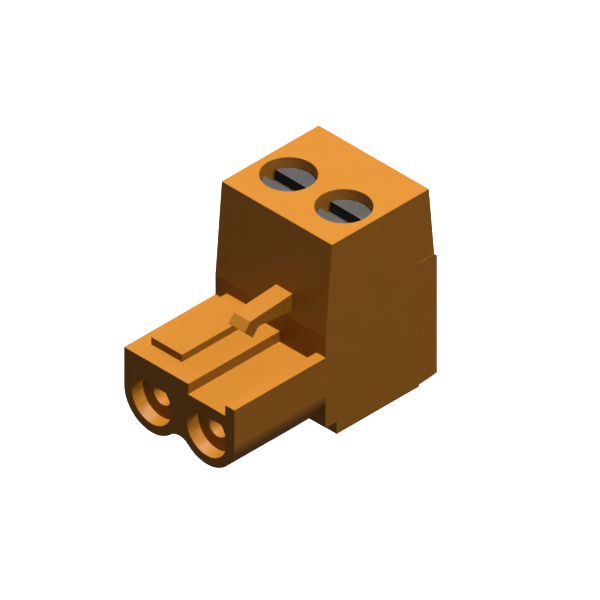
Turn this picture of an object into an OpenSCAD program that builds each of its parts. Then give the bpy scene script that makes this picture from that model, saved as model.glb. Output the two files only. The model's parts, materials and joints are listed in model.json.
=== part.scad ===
// Pluggable terminal block with two poles: the female plug that pushes onto a pin header.
// In each pole a slotted screw lifts a clamping yoke towards a fixed current bar, and the bar
// runs forward into a spring contact behind the pin entry.
// X runs across the poles, -Y points to the header, +Y to the wires, +Z up, in millimetres.
// The origin is the centre of the underside.

/* [Housing] */
// Distance between the two poles, and the width of each
pitch = 5.08; // [4.9:0.01:6.5]
// Depth of the tall body, from its front face to the plane where the rear cover seats
body_d = 8.59; // [8.1:0.01:11]
// Height where the front face starts to lean back
front_kink_z = 8.17; // [7.9:0.01:9.5]
// How far the front face leans back at the top
front_lean = 0.59; // [0:0.01:1.2]
// How far the rear face leans forward at the top
rear_lean = 0.5; // [0:0.01:1.2]
// How far the foot stands back from the front face
foot_setback = 1.02; // [0.3:0.01:2]
// Height of the step above the foot
foot_h = 1; // [0.3:0.01:1.02]

/* [Nose] */
// Length of the nose in front of the body
nose_l = 8.38; // [7:0.01:11]
// Height of the pin axis above the underside
pin_axis_z = 3.57; // [3.56:0.01:3.9]
// Height of the nose's top face above the underside
nose_top_z = 6.61; // [6.2:0.01:7.2]
// Radius of the hollow between the two lobes underneath
valley_r = 1.16; // [0.6:0.01:2]
// Width of the rib along the nose's right edge
rib_w = 0.86; // [0.5:0.01:1.4]
// Width of the guide channel beside the rib
channel_w = 3.37; // [2:0.01:4]
// Depth of the guide channel
channel_d = 0.83; // [0.3:0.01:1]
// Width of the raised key on the nose's left half
key_w = 2.84; // [1.5:0.01:3.6]
// Height of the raised key
key_h = 0.59; // [0.2:0.01:1]
// Distance from the nose's left side to the key
key_inset = 1.07; // [0.4:0.01:1.4]
// Distance from the nose's front to the key
key_setback = 1.44; // [0.5:0.01:3]

/* [Pin entries] */
// Radius of the round recess in front of each pin hole
recess_r = 1.8; // [1.4:0.01:2.1]
// Height of the recess's flat top above the pin axis
recess_flat = 1.26; // [1:0.01:1.38]
// Depth of the recess
recess_d = 1; // [0.5:0.01:1.5]
// Radius of the pin hole
pin_hole_r = 0.79; // [0.72:0.01:0.95]
// Thickness of the wall that the pin hole goes through
pin_wall = 1.3; // [0.8:0.01:1.8]

/* [Latch arm] */
// Width of the arm
latch_w = 1.51; // [1:0.01:2.4]
// Distance of the arm's centre from the plug's middle
latch_x = 1.115; // [0.8:0.005:2.4]
// Height of the arm's top where it leaves the body
latch_z = 10.06; // [9.8:0.01:11]
// Length of the arm's straight top, from the body's front face
latch_l = 3.71; // [2.5:0.01:5]
// Thickness of the arm at the body
latch_root_t = 1.38; // [0.9:0.01:1.6]
// Thickness of the arm in front
latch_tip_t = 0.76; // [0.5:0.01:0.9]
// How far the arm's top falls over its length
latch_fall = 0.32; // [0:0.01:0.5]
// Length of the hook, along its bent leg
hook_l = 0.83; // [0.4:0.01:1]
// Width of the hook's cut end
hook_t = 1.08; // [0.9:0.01:1.3]
// Angle of the hook below the arm
hook_angle = 50; // [40:1:70]
// Angle of the hook's cut end below the arm
hook_cut_angle = 45; // [35:1:60]

/* [Rear cover] */
// Thickness of the cover's plate
cover_t = 1.67; // [1.2:0.01:2.5]
// Height of the cover's lower front edge above the underside
cover_lift = 0.17; // [0.05:0.01:0.6]
// How far the cover's lower face climbs towards the rear
cover_rise = 0.13; // [0:0.01:0.5]
// How far the cover stands behind the wall above it, and the size of its bevel
cover_proud = 0.24; // [0.05:0.01:0.6]
// How far the cover reaches above the chamber's rear opening
cover_lap = 0.68; // [0.4:0.01:1.2]
// Radius of the wire entry
wire_r = 1.45; // [1:0.01:1.55]
// Radius of the wire entry's funnel at the rear face
funnel_r = 2.1; // [1.7:0.01:2.3]
// Depth of the funnel
funnel_d = 0.9; // [0.3:0.01:1.1]
// Height of the snap ridge on top of each boss of the cover
snap_h = 0.2; // [0.1:0.01:0.3]
// Length of the snap ridge's foot
snap_l = 0.6; // [0.5:0.01:0.8]

/* [Screws] */
// Radius of the screw's thread
screw_r = 1.25; // [1:0.01:1.25]
// Radius of the screw's head
head_r = 1.88; // [1.6:0.01:2.1]
// Height of the screw's head
head_h = 1.5; // [1.2:0.01:2]
// Depth of the head's top below the body's top
head_recess = 0.74; // [0.3:0.01:2]
// Width of the screwdriver slot
slot_w = 1; // [0.6:0.01:1.2]
// Depth of the screwdriver slot
slot_d = 0.84; // [0.5:0.01:0.95]
// Bevel round the top of the head
head_bevel = 0.05; // [0.02:0.01:0.2]
// Length of the cone at the screw's tip
tip_cone = 0.4; // [0.2:0.01:0.6]
// Distance of the screw's axis behind the body's front face
screw_setback = 4.22; // [4.1:0.01:4.6]
// Thickness of the wall between the screw's head and the chamber
roof_t = 0.9; // [0.6:0.01:1.4]

/* [Clamping yokes] */
// Width of the yoke across the pole
yoke_w = 3.7; // [3.6:0.01:3.8]
// Depth of the yoke along the wire
yoke_d = 3.8; // [3:0.01:4]
// Thickness of the yoke's sides
yoke_side = 0.5; // [0.4:0.01:0.5]
// Thickness of the yoke's threaded top
yoke_top_t = 1.5; // [1.1:0.01:2]
// Thickness of the yoke's bottom
yoke_floor_t = 1.1; // [0.8:0.01:1.3]
// Outer radius of the yoke's bends
yoke_bend_r = 0.5; // [0.2:0.01:0.7]
// How far the yoke rises from open to closed
yoke_travel = 2.9; // [2:0.01:2.95]
// Depth of the gripping grooves in the yoke's bottom
groove_d = 0.15; // [0.05:0.01:0.25]

/* [Contacts] */
// Height of the current bar's upper face above the underside
bar_z = 7.5; // [7.4:0.01:8.5]
// Thickness of the bar
bar_t = 0.8; // [0.6:0.01:0.9]
// Width of the bar
bar_w = 2.4; // [2.2:0.01:2.5]
// Height of the space for the wire under the bar, with the clamp open
wire_gap = 3.2; // [3.1:0.01:3.3]
// How far the bar reaches behind the yoke
bar_reach = 0.3; // [0.1:0.01:0.4]
// Inner radius of the bend where the bar turns down
bend_r = 0.2; // [0.1:0.01:0.4]
// Thickness of the contact's spring legs
leg_t = 0.4; // [0.3:0.01:0.5]
// Height of the spring legs
leg_h = 1.7; // [1.2:0.01:1.8]
// Length of the legs' straight part
leg_straight = 2.3; // [2:0.01:2.6]
// Space between the legs where they grip the pin
grip_gap = 0.9; // [0.7:0.01:1]
// How far each leg opens outwards in front of the grip
leg_flare = 0.3; // [0.1:0.01:0.4]
// Length of the flare
flare_l = 1.2; // [0.8:0.01:1.5]
// Thickness of the steel over-spring
spring_t = 0.25; // [0.15:0.01:0.28]
// Length of the over-spring's sleeve
spring_l = 2.4; // [1.5:0.01:2.6]

/* [Clearances] */
// Clearance of the parts that slide, each side
slide_clear = 0.1; // [0.06:0.01:0.14]
// Radial clearance round the screw
turn_clear = 0.05; // [0.03:0.01:0.08]
// Clearance under the yoke, under the screw's head and at the screw's tip
seat_clear = 0.06; // [0.03:0.01:0.1]
// Clearance of the parts that are pushed together, each side
push_clear = 0.05; // [0.02:0.01:0.08]

/* [Hidden] */
$fn = 96;
poles = [-1, 1];
width = 2 * pitch;
lobe_r = pitch / 2;
cut = 0.01; // how far a cut runs past the face that it opens
root = 0.5; // how far a form reaches into the body that it grows from

// Planes along Y, from the front of the nose to the back of the cover
nose_front_y = -(nose_l + body_d + cover_t) / 2;
body_front_y = nose_front_y + nose_l;
back_y = body_front_y + body_d;
rear_y = back_y + cover_t;
screw_y = body_front_y + screw_setback;
chamber_front_y = screw_y - yoke_d / 2 - slide_clear;
chamber_rear_y = screw_y + yoke_d / 2 + slide_clear;
bar_rear_y = screw_y + yoke_d / 2 + bar_reach;
boss_front_y = bar_rear_y + 3 * slide_clear;
web_front_y = chamber_front_y - slide_clear - bar_t;

// Heights, from the underside up: the clamp's parts stack up to the body's top
yoke_floor_z = bar_z - bar_t - wire_gap;
yoke_bottom_z = yoke_floor_z - yoke_floor_t;
yoke_window_z = bar_z + slide_clear;
yoke_top_z = yoke_window_z + yoke_top_t;
wire_z = yoke_floor_z + wire_gap / 2;
chamber_floor_z = yoke_bottom_z - seat_clear;
chamber_top_z = yoke_top_z + yoke_travel + slide_clear;
opening_top_z = yoke_top_z + slide_clear;
cover_top_z = opening_top_z + cover_lap;
well_floor_z = chamber_top_z + roof_t;
head_z = well_floor_z + seat_clear;
body_h = head_z + head_h + head_recess;

// The chamber and its rear opening take the yoke, the nose's cavity the over-spring
chamber_w = yoke_w + 2 * slide_clear;
sleeve_w = bar_w + 2 * push_clear + 2 * spring_t;
sleeve_h = leg_h + 2 * push_clear + 2 * spring_t;
cavity_w = sleeve_w + 2 * slide_clear;
cavity_h = sleeve_h + 2 * slide_clear;
cavity_front_y = nose_front_y + recess_d + pin_wall;

// Spring legs, from their mouth back to the web
mouth_y = cavity_front_y + 2 * slide_clear;
grip_y = mouth_y + flare_l;
leg_bend_y = web_front_y - leg_straight;
sleeve_rear_y = web_front_y - bar_w / 2;
sleeve_front_y = sleeve_rear_y - spring_l;

plastic = [0.9, 0.6, 0.28];
steel = [0.62, 0.63, 0.65];
copper = [0.8, 0.55, 0.35];
spring_steel = [0.72, 0.72, 0.7];

// Extrudes an outline drawn in Y and Z across the plug, centred on x
module across(w, x = 0) {
    translate([x - w / 2, 0, 0])
        rotate([90, 0, 90])
            linear_extrude(w)
                children();
}

// Extrudes an outline drawn in X and Z along the plug, from y0 to y1
module along(y0, y1) {
    translate([0, y1, 0])
        rotate([90, 0, 0])
            linear_extrude(y1 - y0)
                children();
}

// A box centred on X, between two Y planes and two heights
module slab(w, y0, y1, z0, z1) {
    translate([-w / 2, y0, z0])
        cube([w, y1 - y0, z1 - z0]);
}

// A rod along Y, between two Y planes
module rod_y(r0, r1, y0, y1) {
    translate([0, y0, 0])
        rotate([-90, 0, 0])
            cylinder(h = y1 - y0, r1 = r0, r2 = r1);
}

// A rectangle with rounded corners, standing on height z0
module rounded(w, z0, z1, r) {
    translate([-w / 2 + r, z0])
        square([w - 2 * r, z1 - z0]);
    translate([-w / 2, z0 + r])
        square([w, z1 - z0 - 2 * r]);
    for (x = [-w / 2 + r, w / 2 - r], z = [z0 + r, z1 - r])
        translate([x, z])
            circle(r);
}

// Two lobes round the pin axes, flush with the body's sides, with a rounded hollow between them
module nose_outline() {
    valley_z = pin_axis_z - sqrt(pow(lobe_r + valley_r, 2) - pow(lobe_r, 2));
    difference() {
        union() {
            for (side = poles)
                translate([side * lobe_r, pin_axis_z])
                    circle(lobe_r);
            translate([-width / 2, pin_axis_z])
                square([width, nose_top_z - pin_axis_z]);
            difference() {
                polygon([[-lobe_r, pin_axis_z], [0, valley_z], [lobe_r, pin_axis_z]]);
                translate([0, valley_z])
                    circle(valley_r);
            }
        }
        translate([width / 2 - rib_w - channel_w, nose_top_z - channel_d])
            square([channel_w, channel_d + cut]);
    }
}

module body_outline() {
    polygon([
        [body_front_y + foot_setback, 0],
        [body_front_y + foot_setback, foot_h],
        [body_front_y, foot_h],
        [body_front_y, front_kink_z],
        [body_front_y + front_lean, body_h],
        [rear_y - cover_proud - rear_lean, body_h],
        [rear_y - cover_proud, cover_top_z],
        [back_y, cover_top_z],
        [back_y, 0]
    ]);
}

// The arm grows out of the body's front and ends in a bent hook that grips the header
module latch_outline() {
    top = [body_front_y - latch_l, latch_z - latch_fall];
    tip = top - hook_l * [cos(hook_angle), sin(hook_angle)];
    heel = tip + hook_t * [cos(hook_cut_angle), -sin(hook_cut_angle)];
    inner_z = top[1] - latch_tip_t;
    inner_y = heel[0] + (inner_z - heel[1]) / tan(hook_angle);
    polygon([
        [body_front_y + front_lean, latch_z],
        top,
        tip,
        heel,
        [inner_y, inner_z],
        [body_front_y, latch_z - latch_root_t],
        [body_front_y + front_lean, latch_z - latch_root_t]
    ]);
}

// Snap ridge of the rear cover, and with a clearance its groove in the housing
module snap(w, clear) {
    base_z = opening_top_z - push_clear;
    middle_y = (boss_front_y + back_y) / 2;
    half = snap_l / 2 + clear;
    across(w)
        polygon([
            [middle_y - half, base_z - cut],
            [middle_y, base_z + snap_h + clear],
            [middle_y + half, base_z - cut]
        ]);
}

// Everything that is hollow in one pole of the housing
module pole_hollows() {
    // Screw well and the screw's hole in the chamber's roof
    translate([0, screw_y, well_floor_z])
        cylinder(h = body_h - well_floor_z + cut, r = head_r + turn_clear);
    translate([0, screw_y, chamber_top_z - cut])
        cylinder(h = roof_t + 2 * cut, r = screw_r + slide_clear);
    // Chamber of the yoke and its opening to the rear
    slab(chamber_w, chamber_front_y, chamber_rear_y, chamber_floor_z, chamber_top_z);
    slab(chamber_w, chamber_rear_y - cut, back_y + cut, chamber_floor_z, opening_top_z);
    snap(chamber_w - 2 * root, push_clear);
    // Slot for the web of the contact, in front of the chamber
    slab(bar_w + 2 * slide_clear, web_front_y - slide_clear, chamber_front_y + cut,
         chamber_floor_z, bar_z + slide_clear);
    // Cavity of the spring legs, pin hole and recess
    slab(cavity_w, cavity_front_y, chamber_front_y + cut,
         pin_axis_z - cavity_h / 2, pin_axis_z + cavity_h / 2);
    translate([0, 0, pin_axis_z]) {
        rod_y(pin_hole_r, pin_hole_r, nose_front_y, cavity_front_y + cut);
        along(nose_front_y - cut, nose_front_y + recess_d)
            intersection() {
                circle(recess_r);
                translate([-recess_r, -recess_r])
                    square([2 * recess_r, recess_r + recess_flat]);
            }
    }
}

module housing() {
    color(plastic)
        difference() {
            union() {
                across(width)
                    body_outline();
                along(nose_front_y, body_front_y + root)
                    nose_outline();
                translate([-width / 2 + key_inset, nose_front_y + key_setback, nose_top_z - root])
                    cube([key_w, nose_l - key_setback + root, key_h + root]);
                across(latch_w, latch_x)
                    latch_outline();
            }
            for (side = poles)
                translate([side * lobe_r, 0, 0])
                    pole_hollows();
        }
}

module rear_cover() {
    color(plastic)
        difference() {
            union() {
                across(width)
                    polygon([
                        [back_y, cover_lift],
                        [rear_y, cover_lift + cover_rise],
                        [rear_y, cover_top_z - cover_proud],
                        [rear_y - cover_proud, cover_top_z],
                        [back_y, cover_top_z]
                    ]);
                for (side = poles)
                    translate([side * lobe_r, 0, 0]) {
                        slab(chamber_w - 2 * push_clear, boss_front_y, back_y + cut,
                             chamber_floor_z + push_clear, opening_top_z - push_clear);
                        snap(chamber_w - 2 * root - 2 * push_clear, 0);
                    }
            }
            for (side = poles)
                translate([side * lobe_r, 0, wire_z]) {
                    rod_y(wire_r, wire_r, boss_front_y - cut, rear_y + cut);
                    rod_y(wire_r, funnel_r, rear_y - funnel_d, rear_y);
                }
        }
}

// Turned screw with a slotted cheese head, at its place in the well
module screw(side) {
    tip_z = bar_z + seat_clear;
    top_z = head_z + head_h;
    color(steel)
        translate([side * lobe_r, screw_y, 0])
            difference() {
                rotate_extrude()
                    polygon([
                        [0, tip_z],
                        [screw_r - tip_cone, tip_z],
                        [screw_r, tip_z + tip_cone],
                        [screw_r, head_z],
                        [head_r, head_z],
                        [head_r, top_z - head_bevel],
                        [head_r - head_bevel, top_z],
                        [0, top_z]
                    ]);
                translate([-head_r - cut, -slot_w / 2, top_z - slot_d])
                    cube([2 * (head_r + cut), slot_w, slot_d + cut]);
            }
}

// Bent steel cage round the bar, threaded above it and grooved below it, in its open place
module yoke(side) {
    window_w = yoke_w - 2 * yoke_side;
    groove_step = yoke_d / 4;
    color(steel)
        translate([side * lobe_r, 0, 0])
            difference() {
                along(screw_y - yoke_d / 2, screw_y + yoke_d / 2)
                    difference() {
                        rounded(yoke_w, yoke_bottom_z, yoke_top_z, yoke_bend_r);
                        translate([-window_w / 2, yoke_floor_z])
                            square([window_w, yoke_window_z - yoke_floor_z]);
                    }
                translate([0, screw_y, yoke_window_z - cut])
                    cylinder(h = yoke_top_t + 2 * cut, r = screw_r + turn_clear);
                for (i = [-1:1])
                    across(window_w)
                        polygon([
                            [screw_y + i * groove_step - groove_d, yoke_floor_z + cut],
                            [screw_y + i * groove_step, yoke_floor_z - groove_d],
                            [screw_y + i * groove_step + groove_d, yoke_floor_z + cut]
                        ]);
            }
}

// Side outline of the flat bar and the web that turns down from it in a round bend
module bar_outline() {
    outer_r = bend_r + bar_t;
    web_bottom_z = pin_axis_z - leg_h / 2;
    translate([web_front_y + outer_r, bar_z - bar_t])
        square([bar_rear_y - web_front_y - outer_r, bar_t]);
    translate([web_front_y, web_bottom_z])
        square([bar_t, bar_z - outer_r - web_bottom_z]);
    translate([web_front_y + outer_r, bar_z - outer_r])
        intersection() {
            difference() {
                circle(outer_r);
                circle(bend_r);
            }
            translate([-outer_r, 0])
                square(outer_r);
        }
}

// Plan of one spring leg: straight from the web, closing to the grip, opening to the mouth
module leg_plan() {
    outer_x = bar_w / 2;
    grip_x = grip_gap / 2;
    polygon([
        [outer_x, web_front_y + cut],
        [outer_x, leg_bend_y],
        [grip_x + leg_t, grip_y],
        [grip_x + leg_flare + leg_t, mouth_y],
        [grip_x + leg_flare, mouth_y],
        [grip_x, grip_y],
        [outer_x - leg_t, leg_bend_y],
        [outer_x - leg_t, web_front_y + cut]
    ]);
}

// Plan of the over-spring's finger, which leans on the leg from outside at the grip
module finger_plan() {
    root_x = sleeve_w / 2;
    rest_x = grip_gap / 2 + leg_t + push_clear;
    polygon([
        [root_x - spring_t, sleeve_front_y + cut],
        [rest_x, grip_y],
        [rest_x + spring_t, grip_y],
        [root_x, sleeve_front_y + cut]
    ]);
}

// Places two mirrored copies of a plan beside the pin axis, h high
module on_both_sides(h) {
    for (side = poles)
        translate([0, 0, pin_axis_z - h / 2])
            scale([side, 1, 1])
                linear_extrude(h)
                    children();
}

module contact(side) {
    color(copper)
        translate([side * lobe_r, 0, 0]) {
            across(bar_w)
                bar_outline();
            on_both_sides(leg_h)
                leg_plan();
        }
}

module over_spring(side) {
    color(spring_steel)
        translate([side * lobe_r, 0, 0]) {
            difference() {
                slab(sleeve_w, sleeve_front_y, sleeve_rear_y,
                     pin_axis_z - sleeve_h / 2, pin_axis_z + sleeve_h / 2);
                slab(sleeve_w - 2 * spring_t, sleeve_front_y - cut, sleeve_rear_y + cut,
                     pin_axis_z - sleeve_h / 2 + spring_t, pin_axis_z + sleeve_h / 2 - spring_t);
            }
            on_both_sides(leg_h - 2 * spring_t)
                finger_plan();
        }
}

housing();
rear_cover();
screw(-1);  // screw_1
screw(1);  // screw_2
yoke(-1);  // yoke_1
yoke(1);  // yoke_2
contact(-1);  // contact_1
contact(1);  // contact_2
over_spring(-1);  // over_spring_1
over_spring(1);  // over_spring_2
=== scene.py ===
"""Looks of the pluggable terminal block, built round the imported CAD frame.

Metres, in the row frame: X across the poles, -Y out of the nose, +Z up.
"""

import json
import math

import bmesh
import bpy
from mathutils import Matrix, Vector

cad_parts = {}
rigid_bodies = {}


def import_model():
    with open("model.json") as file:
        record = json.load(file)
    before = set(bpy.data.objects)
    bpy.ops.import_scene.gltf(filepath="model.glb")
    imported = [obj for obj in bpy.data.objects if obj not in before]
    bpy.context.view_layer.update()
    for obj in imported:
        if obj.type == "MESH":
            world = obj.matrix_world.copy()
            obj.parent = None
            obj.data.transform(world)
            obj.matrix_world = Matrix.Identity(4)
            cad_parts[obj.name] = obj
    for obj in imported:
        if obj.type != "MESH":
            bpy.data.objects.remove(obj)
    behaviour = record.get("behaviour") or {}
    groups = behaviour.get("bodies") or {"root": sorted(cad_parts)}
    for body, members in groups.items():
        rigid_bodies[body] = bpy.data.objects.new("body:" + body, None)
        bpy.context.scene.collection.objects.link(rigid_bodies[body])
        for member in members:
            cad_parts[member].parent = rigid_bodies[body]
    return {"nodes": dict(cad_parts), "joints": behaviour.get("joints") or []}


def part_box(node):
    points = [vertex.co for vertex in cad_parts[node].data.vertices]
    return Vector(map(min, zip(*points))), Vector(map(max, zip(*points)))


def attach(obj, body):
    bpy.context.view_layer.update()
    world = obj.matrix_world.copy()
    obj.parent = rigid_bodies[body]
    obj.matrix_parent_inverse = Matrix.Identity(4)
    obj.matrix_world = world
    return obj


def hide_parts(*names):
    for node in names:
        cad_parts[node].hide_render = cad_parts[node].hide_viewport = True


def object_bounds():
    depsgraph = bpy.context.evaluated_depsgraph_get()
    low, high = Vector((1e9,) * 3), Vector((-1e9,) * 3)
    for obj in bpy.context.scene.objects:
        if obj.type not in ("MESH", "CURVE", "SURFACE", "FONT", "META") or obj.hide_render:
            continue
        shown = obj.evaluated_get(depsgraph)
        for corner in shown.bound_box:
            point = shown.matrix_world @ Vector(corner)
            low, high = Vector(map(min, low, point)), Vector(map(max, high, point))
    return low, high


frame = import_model()
CAD_LO, CAD_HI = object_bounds()
CENTRE = (CAD_LO + CAD_HI) / 2

MM = 0.001
nodes = frame["nodes"]
joints = {joint["name"]: joint for joint in frame["joints"]}

# Camera: where it stands, the picture's side in metres, and how far its aim lies from the block's centre
CAMERA_AZIMUTH = math.radians(45)
CAMERA_ELEVATION = math.atan(1 / math.sqrt(2))
CAMERA_SCALE = 38.98 * MM
CAMERA_RIGHT = 1.265 * MM
CAMERA_UP = 0.45 * MM
CAMERA_DISTANCE = 0.3
CAMERA_CLIP = (0.001, 10)

# Light: the boxes' directions from the block, their sides in metres and their powers in watts, the world's
# strength on the block and where the camera sees it, and the floor's half side and glow
LIGHT_DISTANCE = 0.5
OVERHEAD = dict(direction=(0.15, 0.04, 0.99), width=0.3, depth=0.1, power=3.25)
LEFT = dict(direction=(-0.93, 0.24, 0.28), width=0.15, depth=0.15, power=0.5)
REAR = dict(direction=(-0.15, 0.95, 0.28), width=0.15, depth=0.15, power=0.5)
WORLD_FILL = 0.08
WHITE_BACKDROP = 1.0
FLOOR_HALF = 1.0
FLOOR_GLOW = 1.0

# Finishes: the two ends of each base colour's range, and the share of the plastic's own that its
# neighbours are lit with
ORANGE = ((0.565, 0.207, 0.014, 1), (0.610, 0.226, 0.017, 1))
ORANGE_FLECK = (0.50, 0.16, 0.010, 1)
BOUNCE_SHARE = 0.15
SCREW_ZINC = ((0.21, 0.21, 0.21, 1), (0.26, 0.26, 0.258, 1))
YOKE_ZINC = ((0.50, 0.49, 0.46, 1), (0.60, 0.60, 0.59, 1))
TIN = ((0.60, 0.575, 0.52, 1), (0.70, 0.68, 0.64, 1))
STAINLESS = ((0.42, 0.42, 0.425, 1), (0.54, 0.54, 0.53, 1))
SLOT_SHADE = (0.05, 0.048, 0.046, 1)
BLACK = (0, 0, 0, 1)

# Edges: the moulding's and the metal's radius, the angle above which an edge is rounded, and what is
# cleaned up first: corners this close are one, and faces this close to one plane are one
PLASTIC_EDGE = 0.02 * MM
METAL_EDGE = 0.03 * MM
EDGE_ANGLE = math.radians(28)
WELD_DISTANCE = 0.0005 * MM
FLAT_ANGLE = math.radians(0.3)

# Clamp screw: its shank, which narrows by the cone at its tip, its turned head and its screwdriver slot
SHANK_RADIUS = 1.25 * MM
TIP_CONE = 0.3 * MM
HEAD_HEIGHT = 1.5 * MM
HEAD_CHAMFER = 0.12 * MM
SLOT_WIDTH = 1.0 * MM
SLOT_DEPTH = 0.84 * MM
SLOT_EDGE_ANGLE = math.radians(40)
SLOT_TOLERANCE = 0.01 * MM
CREASE_ANGLE = math.radians(32)
ALONG_AXIS = 0.999

# Its thread: sides of a turn, rows of vertices to a pitch, the plain lengths under the head and at the tip,
# and the root's half width and a flank's width as shares of the pitch
THREAD_PITCH = 0.45 * MM
THREAD_DEPTH = 0.24 * MM
THREAD_SIDES = 48
THREAD_ROWS = 8
THREAD_TOP_GAP = 0.1 * MM
THREAD_TIP_GAP = 0.12 * MM
ROOT_HALF = 0.06
FLANK = 0.34


# ---------------------------------------------------------------- camera, light and floor

def aim(thing, back, right):
    """Turn a camera or light: back points from what it looks at to it, and right is to its own right."""
    right = (right - back * right.dot(back)).normalized()
    thing.rotation_mode = "QUATERNION"
    thing.rotation_quaternion = Matrix((right, back.cross(right), back)).transposed().to_quaternion()


def add_camera():
    """An orthographic view from the right, in front and above: equal slopes along X, Y and Z."""
    back = Vector((math.sin(CAMERA_AZIMUTH) * math.cos(CAMERA_ELEVATION),
                   -math.cos(CAMERA_AZIMUTH) * math.cos(CAMERA_ELEVATION),
                   math.sin(CAMERA_ELEVATION)))
    right = Vector((math.cos(CAMERA_AZIMUTH), math.sin(CAMERA_AZIMUTH), 0))
    up = back.cross(right)
    data = bpy.data.cameras.new("camera")
    data.type = "ORTHO"
    data.ortho_scale = CAMERA_SCALE
    data.clip_start, data.clip_end = CAMERA_CLIP
    camera = bpy.data.objects.new("camera", data)
    camera.location = CENTRE + right * CAMERA_RIGHT + up * CAMERA_UP + back * CAMERA_DISTANCE
    aim(camera, back, right)
    bpy.context.scene.collection.objects.link(camera)
    bpy.context.scene.camera = camera


def add_softbox(name, direction, width, depth, power, shaded_by=None):
    """A flat light that faces the block from a direction. Its width lies along X, and its depth across that.

    Where shaded_by is a collection, only its pieces throw this light's shadows.
    """
    data = bpy.data.lights.new(name, "AREA")
    data.shape = "RECTANGLE"
    data.size = width
    data.size_y = depth
    data.energy = power
    light = bpy.data.objects.new(name, data)
    toward = Vector(direction).normalized()
    light.location = CENTRE + toward * LIGHT_DISTANCE
    aim(light, toward, Vector((1, 0, 0)))
    light.light_linking.blocker_collection = shaded_by
    bpy.context.scene.collection.objects.link(light)


def floor_material():
    """Matt white that glows: the glow hides the shadows on it."""
    material = bpy.data.materials.new("floor")
    material.use_nodes = True
    sockets = material.node_tree.nodes["Principled BSDF"].inputs
    sockets["Base Color"].default_value = (0.9, 0.9, 0.9, 1)
    sockets["Roughness"].default_value = 0.9
    sockets["Specular IOR Level"].default_value = 0.0
    sockets["Emission Color"].default_value = (1, 1, 1, 1)
    sockets["Emission Strength"].default_value = FLOOR_GLOW
    return material


def add_floor():
    """A plain pale light table under the block, which throws no light up at it."""
    mesh = bpy.data.meshes.new("floor")
    corners = [(-FLOOR_HALF, -FLOOR_HALF), (FLOOR_HALF, -FLOOR_HALF),
               (FLOOR_HALF, FLOOR_HALF), (-FLOOR_HALF, FLOOR_HALF)]
    mesh.from_pydata([(x, y, CAD_LO.z) for x, y in corners], [], [(0, 1, 2, 3)])
    mesh.materials.append(floor_material())
    floor = bpy.data.objects.new("floor", mesh)
    floor.visible_diffuse = False
    floor.visible_glossy = False
    bpy.context.scene.collection.objects.link(floor)


def add_world():
    """A white backdrop that gives the block only a faint even fill."""
    world = bpy.data.worlds.new("studio")
    world.use_nodes = True
    tree = world.node_tree
    path = tree.nodes.new("ShaderNodeLightPath")
    strength = tree.nodes.new("ShaderNodeMapRange")
    strength.inputs["To Min"].default_value = WORLD_FILL
    strength.inputs["To Max"].default_value = WHITE_BACKDROP
    tree.links.new(path.outputs["Is Camera Ray"], strength.inputs["Value"])
    tree.links.new(strength.outputs["Result"], tree.nodes["Background"].inputs["Strength"])
    tree.nodes["Background"].inputs["Color"].default_value = (1, 1, 1, 1)
    bpy.context.scene.world = world


def inner_pieces():
    """Every piece but the housing, gathered before the floor is there."""
    group = bpy.data.collections.new("inner_pieces")
    for thing in bpy.context.scene.objects:
        if thing.type == "MESH" and thing != nodes["housing"]:
            group.objects.link(thing)
    return group


def add_studio():
    """A main light overhead, which the housing doesn't shade, and weak ones on the far sides."""
    bpy.context.scene.view_settings.view_transform = "Standard"
    inner = inner_pieces()
    add_camera()
    add_floor()
    add_world()
    add_softbox("overhead", shaded_by=inner, **OVERHEAD)
    add_softbox("left", **LEFT)
    add_softbox("rear", **REAR)


# ---------------------------------------------------------------- material building blocks

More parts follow.
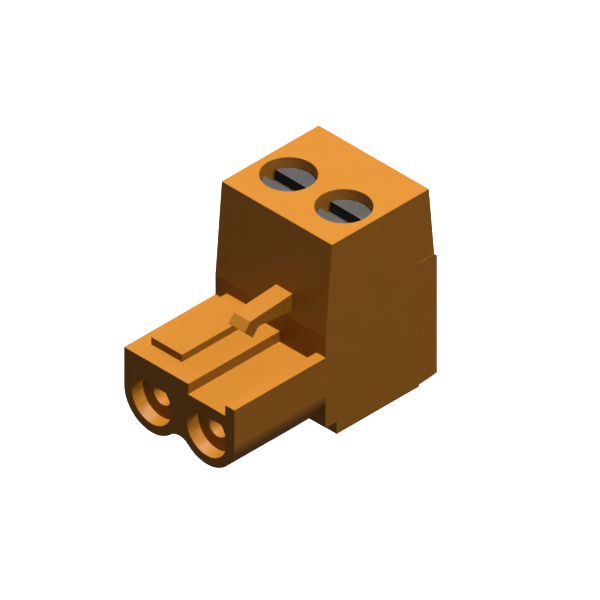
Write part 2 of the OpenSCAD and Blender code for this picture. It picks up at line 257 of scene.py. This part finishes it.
class Paint:
    """A material's node tree, with the few nodes that the finishes below are made of."""

    def __init__(self, name):
        self.material = bpy.data.materials.new(name)
        self.material.use_nodes = True
        self.tree = self.material.node_tree
        self.shader = self.tree.nodes["Principled BSDF"]
        self.place = self.node("TexCoord").outputs["Object"]

    def node(self, kind):
        """A new shader node."""
        return self.tree.nodes.new("ShaderNode" + kind)

    def link(self, value, socket):
        """Feed a socket from another node, or set it to a plain value."""
        if isinstance(value, bpy.types.NodeSocket):
            self.tree.links.new(value, socket)
        else:
            socket.default_value = value

    def stretch(self, scale):
        """The place, with each axis scaled on its own: a small scale draws the pattern out along it."""
        node = self.node("Mapping")
        self.link(self.place, node.inputs["Vector"])
        node.inputs["Scale"].default_value = scale
        return node.outputs["Vector"]

    def noise(self, grain, detail, place=None):
        """Noise from 0 to 1 whose features are about one grain across."""
        node = self.node("TexNoise")
        self.link(place or self.place, node.inputs["Vector"])
        node.inputs["Scale"].default_value = 1 / grain
        node.inputs["Detail"].default_value = detail
        return node.outputs["Fac"]

    def cells(self, grain):
        """The distance to the nearest of the scattered centres, about one grain apart."""
        node = self.node("TexVoronoi")
        self.link(self.place, node.inputs["Vector"])
        node.inputs["Scale"].default_value = 1 / grain
        return node.outputs["Distance"]

    def rings(self, pitch, distortion):
        """Turning marks: rings round the piece's own vertical axis, one to a pitch.

        At a scale of 1, the texture runs through 20 radians a metre.
        """
        node = self.node("TexWave")
        self.link(self.place, node.inputs["Vector"])
        node.wave_type = "RINGS"
        node.rings_direction = "Z"
        node.inputs["Scale"].default_value = 2 * math.pi / (20 * pitch)
        node.inputs["Distortion"].default_value = distortion
        return node.outputs["Fac"]

    def muted(self, color, share):
        """The colour, painted darker where it only lights a neighbouring face: painted shade that keeps
        inner corners dark.
        """
        weak = self.span(self.node("LightPath").outputs["Is Diffuse Ray"], 0.0, 1 - share)
        return self.blend(weak, color, BLACK)

    def within(self, value, low, high):
        """1 where a value lies from low to high, 0 elsewhere."""
        node = self.node("Math")
        node.operation = "COMPARE"
        self.link(value, node.inputs[0])
        node.inputs[1].default_value = (low + high) / 2
        node.inputs[2].default_value = (high - low) / 2
        return node.outputs[0]

    def times(self, first, second):
        """The product of two values."""
        node = self.node("Math")
        node.operation = "MULTIPLY"
        self.link(first, node.inputs[0])
        self.link(second, node.inputs[1])
        return node.outputs[0]

    def apart(self, vector):
        """A vector's three parts, X, Y and Z."""
        node = self.node("SeparateXYZ")
        self.link(vector, node.inputs[0])
        return node.outputs

    def slot_walls(self, top_z, margin=0.02, upright=0.6):
        """1 on the walls of the screwdriver slot, where shade is painted, 0 on its floor and on the rest of
        the screw.

        The margin is a share of the slot's own size, and upright is the most Z that a wall's normal has.
        """
        place = self.apart(self.place)
        slope = self.apart(self.node("NewGeometry").outputs["Normal"])
        half_width = (0.5 + margin) * SLOT_WIDTH
        inside = self.times(self.within(place["Y"], -half_width, half_width),
                            self.within(place["Z"], top_z - (1 + margin) * SLOT_DEPTH, top_z + SLOT_DEPTH))
        return self.times(inside, self.within(slope["Z"], -upright, upright))

    def span(self, value, low, high, start=0.0, end=1.0):
        """The value's range from start to end, spread from low to high."""
        node = self.node("MapRange")
        self.link(value, node.inputs["Value"])
        node.inputs["From Min"].default_value = start
        node.inputs["From Max"].default_value = end
        node.inputs["To Min"].default_value = low
        node.inputs["To Max"].default_value = high
        return node.outputs["Result"]

    def blend(self, share, first, second):
        """A mix of two colours."""
        node = self.node("Mix")
        node.data_type = "RGBA"
        self.link(share, node.inputs["Factor"])
        self.link(first, node.inputs[6])
        self.link(second, node.inputs[7])
        return node.outputs[2]

    def bump(self, height, depth, strength, under=None):
        """A surface normal from a height of 0 to 1 that stands for a depth in metres."""
        node = self.node("Bump")
        self.link(height, node.inputs["Height"])
        node.inputs["Distance"].default_value = depth
        node.inputs["Strength"].default_value = strength
        if under:
            self.link(under, node.inputs["Normal"])
        return node.outputs["Normal"]

    def finish(self, color, roughness, normal, **sockets):
        """Wire the shader up and return the material."""
        self.link(color, self.shader.inputs["Base Color"])
        self.link(roughness, self.shader.inputs["Roughness"])
        self.link(normal, self.shader.inputs["Normal"])
        for name, value in sockets.items():
            self.shader.inputs[name.replace("_", " ")].default_value = value
        return self.material


# ---------------------------------------------------------------- finishes

def moulded_plastic(name):
    """Orange polyamide: a fine eroded grain, faint flow clouds and tiny darker flecks of filler."""
    paint = Paint(name)
    clouds = paint.noise(grain=2.6 * MM, detail=3)
    flecks = paint.span(paint.noise(grain=0.16 * MM, detail=1), 0.0, 1.0, start=0.62, end=0.72)
    color = paint.blend(clouds, *ORANGE)
    color = paint.blend(paint.span(flecks, 0.0, 0.14), color, ORANGE_FLECK)
    roughness = paint.span(paint.noise(grain=0.5 * MM, detail=4), 0.45, 0.53, start=0.3, end=0.7)
    waves = paint.bump(paint.noise(grain=0.45 * MM, detail=2), depth=0.010 * MM, strength=0.5)
    pits = paint.noise(grain=0.055 * MM, detail=3)
    normal = paint.bump(pits, depth=0.012 * MM, strength=0.8, under=waves)
    # The plastic's colour is painted darker for the light it throws on its neighbours: painted shade in
    # inner corners.
    return paint.finish(paint.muted(color, BOUNCE_SHARE), roughness, normal, Specular_IOR_Level=0.4)


def zinc_plate(name, tints, rough_low, rough_high, head_top=None):
    """Zinc plate: mottled crystals and a faint change of tint. A head has turning marks, and painted shade
    darkens its slot's walls.
    """
    paint = Paint(name)
    mottle = paint.noise(grain=0.35 * MM, detail=4)
    color = paint.blend(mottle, *tints)
    if head_top:
        # Painted shade: the slot's walls are painted near-black.
        color = paint.blend(paint.slot_walls(head_top), color, SLOT_SHADE)
    roughness = paint.span(paint.cells(grain=0.22 * MM), rough_low, rough_high)
    normal = paint.bump(paint.noise(grain=0.05 * MM, detail=3), depth=0.003 * MM, strength=0.6)
    if head_top:
        marks = paint.rings(pitch=0.09 * MM, distortion=0.6)
        normal = paint.bump(marks, depth=0.004 * MM, strength=0.5, under=normal)
    return paint.finish(color, roughness, normal, Metallic=1.0)


def tinned_copper(name):
    """Matt tin over rolled copper alloy: soft clouds, and fine rolling lines along the strip."""
    paint = Paint(name)
    clouds = paint.noise(grain=0.8 * MM, detail=4)
    color = paint.blend(clouds, *TIN)
    roughness = paint.span(clouds, 0.34, 0.48, start=0.3, end=0.7)
    lines = paint.noise(grain=0.04 * MM, detail=2, place=paint.stretch((1, 0.04, 0.04)))
    normal = paint.bump(lines, depth=0.002 * MM, strength=0.6)
    return paint.finish(color, roughness, normal, Metallic=1.0)


def stainless_strip(name):
    """Hard-rolled stainless strip: brushed lines round the spring and a few darker streaks."""
    paint = Paint(name)
    lines = paint.noise(grain=0.03 * MM, detail=3, place=paint.stretch((0.05, 1, 0.05)))
    streaks = paint.noise(grain=0.6 * MM, detail=2, place=paint.stretch((0.1, 1, 0.1)))
    color = paint.blend(streaks, *STAINLESS)
    roughness = paint.span(lines, 0.24, 0.40, start=0.3, end=0.7)
    normal = paint.bump(lines, depth=0.0015 * MM, strength=0.6)
    return paint.finish(color, roughness, normal, Metallic=1.0)


# ---------------------------------------------------------------- pieces

def round_edges(piece, width):
    """Clean up a piece's flat faces and give its sharp edges a small radius that catches the light."""
    weld = piece.modifiers.new("weld", "WELD")
    weld.merge_threshold = WELD_DISTANCE
    flats = piece.modifiers.new("flats", "DECIMATE")
    flats.decimate_type = "DISSOLVE"
    flats.angle_limit = FLAT_ANGLE
    bevel = piece.modifiers.new("edges", "BEVEL")
    bevel.limit_method = "ANGLE"
    bevel.angle_limit = EDGE_ANGLE
    bevel.width = width
    bevel.segments = 2
    bevel.use_clamp_overlap = False
    bevel.miter_outer = "MITER_ARC"
    bevel.harden_normals = True
    normals = piece.modifiers.new("normals", "WEIGHTED_NORMAL")
    normals.keep_sharp = True
    normals.weight = 80


def ring_of(mesh, reaches, z):
    """A closed ring of evenly spaced vertices round the Z axis, each with its own reach from the axis."""
    ring = []
    for side, reach in enumerate(reaches):
        angle = 2 * math.pi * side / len(reaches)
        ring.append(mesh.verts.new((reach * math.cos(angle), reach * math.sin(angle), z)))
    return ring


def round_ring(mesh, radius, z):
    """A ring of one radius all round."""
    return ring_of(mesh, [radius] * THREAD_SIDES, z)


def head_rings(mesh, neck_z, top_z, radius):
    """Rings from the rim of the head's flat top down to the shank."""
    chamfer = HEAD_CHAMFER
    profile = [(radius - chamfer, top_z),
               (radius - 0.3 * chamfer, top_z - 0.3 * chamfer),
               (radius, top_z - chamfer),
               (radius, neck_z + 0.5 * chamfer),
               (radius - 0.5 * chamfer, neck_z),
               (SHANK_RADIUS, neck_z)]
    return [round_ring(mesh, reach, z) for reach, z in profile]


def thread_reach(z, turn, tip_z):
    """How far the thread reaches from the axis: crests, flanks and roots, and a cone at the tip."""
    phase = (z / THREAD_PITCH - turn) % 1
    height = min(1.0, max(0.0, (abs(phase - 0.5) - ROOT_HALF) / FLANK))
    thread = SHANK_RADIUS - THREAD_DEPTH * (1 - height)
    cone = SHANK_RADIUS - TIP_CONE + (z - tip_z)
    return min(thread, cone)


def thread_rings(mesh, tip_z, neck_z):
    """Rings down the shank that follow the helical thread, and the plain one at its tip."""
    rows = round((neck_z - tip_z) / THREAD_PITCH * THREAD_ROWS)
    top, bottom = neck_z - THREAD_TOP_GAP, tip_z + THREAD_TIP_GAP
    rings = []
    for row in range(rows + 1):
        z = top + (bottom - top) * row / rows
        reaches = [thread_reach(z, side / THREAD_SIDES, tip_z) for side in range(THREAD_SIDES)]
        rings.append(ring_of(mesh, reaches, z))
    rings.append(round_ring(mesh, SHANK_RADIUS - TIP_CONE, tip_z))
    return rings


def screw_mesh(tip_z, neck_z, top_z, head_radius):
    """A cheese head on a shank with a real helical thread, round the Z axis."""
    mesh = bmesh.new()
    rings = head_rings(mesh, neck_z, top_z, head_radius) + thread_rings(mesh, tip_z, neck_z)
    for upper, lower in zip(rings, rings[1:]):
        for side in range(THREAD_SIDES):
            after = (side + 1) % THREAD_SIDES
            mesh.faces.new((upper[side], lower[side], lower[after], upper[after]))
    mesh.faces.new(rings[0])
    mesh.faces.new(list(reversed(rings[-1])))
    return mesh


def as_object(mesh, name):
    """A new object from a bmesh, which is freed."""
    data = bpy.data.meshes.new(name)
    bmesh.ops.recalc_face_normals(mesh, faces=mesh.faces)
    mesh.to_mesh(data)
    mesh.free()
    thing = bpy.data.objects.new(name, data)
    bpy.context.scene.collection.objects.link(thing)
    return thing


def bake_modifiers(piece):
    """Turn what a piece's modifiers make into its own mesh."""
    bpy.context.view_layer.update()
    shown = piece.evaluated_get(bpy.context.evaluated_depsgraph_get())
    data = bpy.data.meshes.new_from_object(shown)
    piece.modifiers.clear()
    piece.data = data


def cut_slot(piece, top_z, head_radius):
    """Saw the screwdriver slot across the head, along X, with a block longer than the head is wide."""
    block = bmesh.new()
    bmesh.ops.create_cube(block, size=1)
    length = 2.4 * head_radius
    for vert in block.verts:
        depth = SLOT_DEPTH if vert.co.z > 0 else -SLOT_DEPTH
        vert.co = Vector((vert.co.x * length, vert.co.y * SLOT_WIDTH, top_z + depth))
    cutter = as_object(block, "slot_cutter")
    cut = piece.modifiers.new("slot", "BOOLEAN")
    cut.operation = "DIFFERENCE"
    cut.solver = "EXACT"
    cut.object = cutter
    bake_modifiers(piece)
    bpy.data.objects.remove(cutter)


def soften_slot(piece, top_z):
    """Break the slot's sharp edges a little, at the top, along its floor and at its ends."""
    mesh = bmesh.new()
    mesh.from_mesh(piece.data)
    floor_z = top_z - SLOT_DEPTH
    edges = [edge for edge in mesh.edges
             if len(edge.link_faces) == 2 and edge.calc_face_angle() > SLOT_EDGE_ANGLE
             and min(vert.co.z for vert in edge.verts) > floor_z - SLOT_TOLERANCE
             and max(abs(vert.co.y) for vert in edge.verts) < SLOT_WIDTH / 2 + SLOT_TOLERANCE]
    bmesh.ops.bevel(mesh, geom=edges, offset=METAL_EDGE, segments=2, profile=0.5, affect="EDGES")
    mesh.to_mesh(piece.data)
    mesh.free()


def shade(piece):
    """Smooth curves with creases at sharp angles. What faces straight along an axis is flat."""
    piece.data.set_sharp_from_angle(angle=CREASE_ANGLE)
    for face in piece.data.polygons:
        face.use_smooth = max(map(abs, face.normal)) < ALONG_AXIS


def add_screw(number, material):
    """The turned clamp screw that stands for its plain CAD solid."""
    node = f"screw_{number}"
    low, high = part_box(node)
    head_radius = (high.x - low.x) / 2
    mesh = screw_mesh(low.z, high.z - HEAD_HEIGHT, high.z, head_radius)
    piece = as_object(mesh, f"clamp_screw_{number}")
    cut_slot(piece, high.z, head_radius)
    soften_slot(piece, high.z)
    shade(piece)
    piece.location = Vector((*joints[f"{node}_turn"]["pos_m"][:2], 0))
    piece.data.materials.clear()
    piece.data.materials.append(material)
    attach(piece, node)
    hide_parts(node)


def dress(name, material, edge):
    """Give a CAD node its finish and its rounded edges."""
    piece = nodes[name]
    for place in piece.material_slots:
        place.material = material
    round_edges(piece, edge)


def add_pieces():
    """Dress the CAD nodes and add the two screws."""
    orange = moulded_plastic("orange_plastic")
    screw = zinc_plate("plated_screw", SCREW_ZINC, 0.5, 0.6, head_top=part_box("screw_1")[1].z)
    yoke = zinc_plate("plated_yoke", YOKE_ZINC, 0.34, 0.48)
    contact = tinned_copper("tinned_copper")
    spring = stainless_strip("stainless_spring")
    for name in ("housing", "rear_cover"):
        dress(name, orange, PLASTIC_EDGE)
    for number in (1, 2):
        dress(f"yoke_{number}", yoke, METAL_EDGE)
        dress(f"contact_{number}", contact, METAL_EDGE)
        dress(f"over_spring_{number}", spring, METAL_EDGE)
        add_screw(number, screw)


add_pieces()
add_studio()
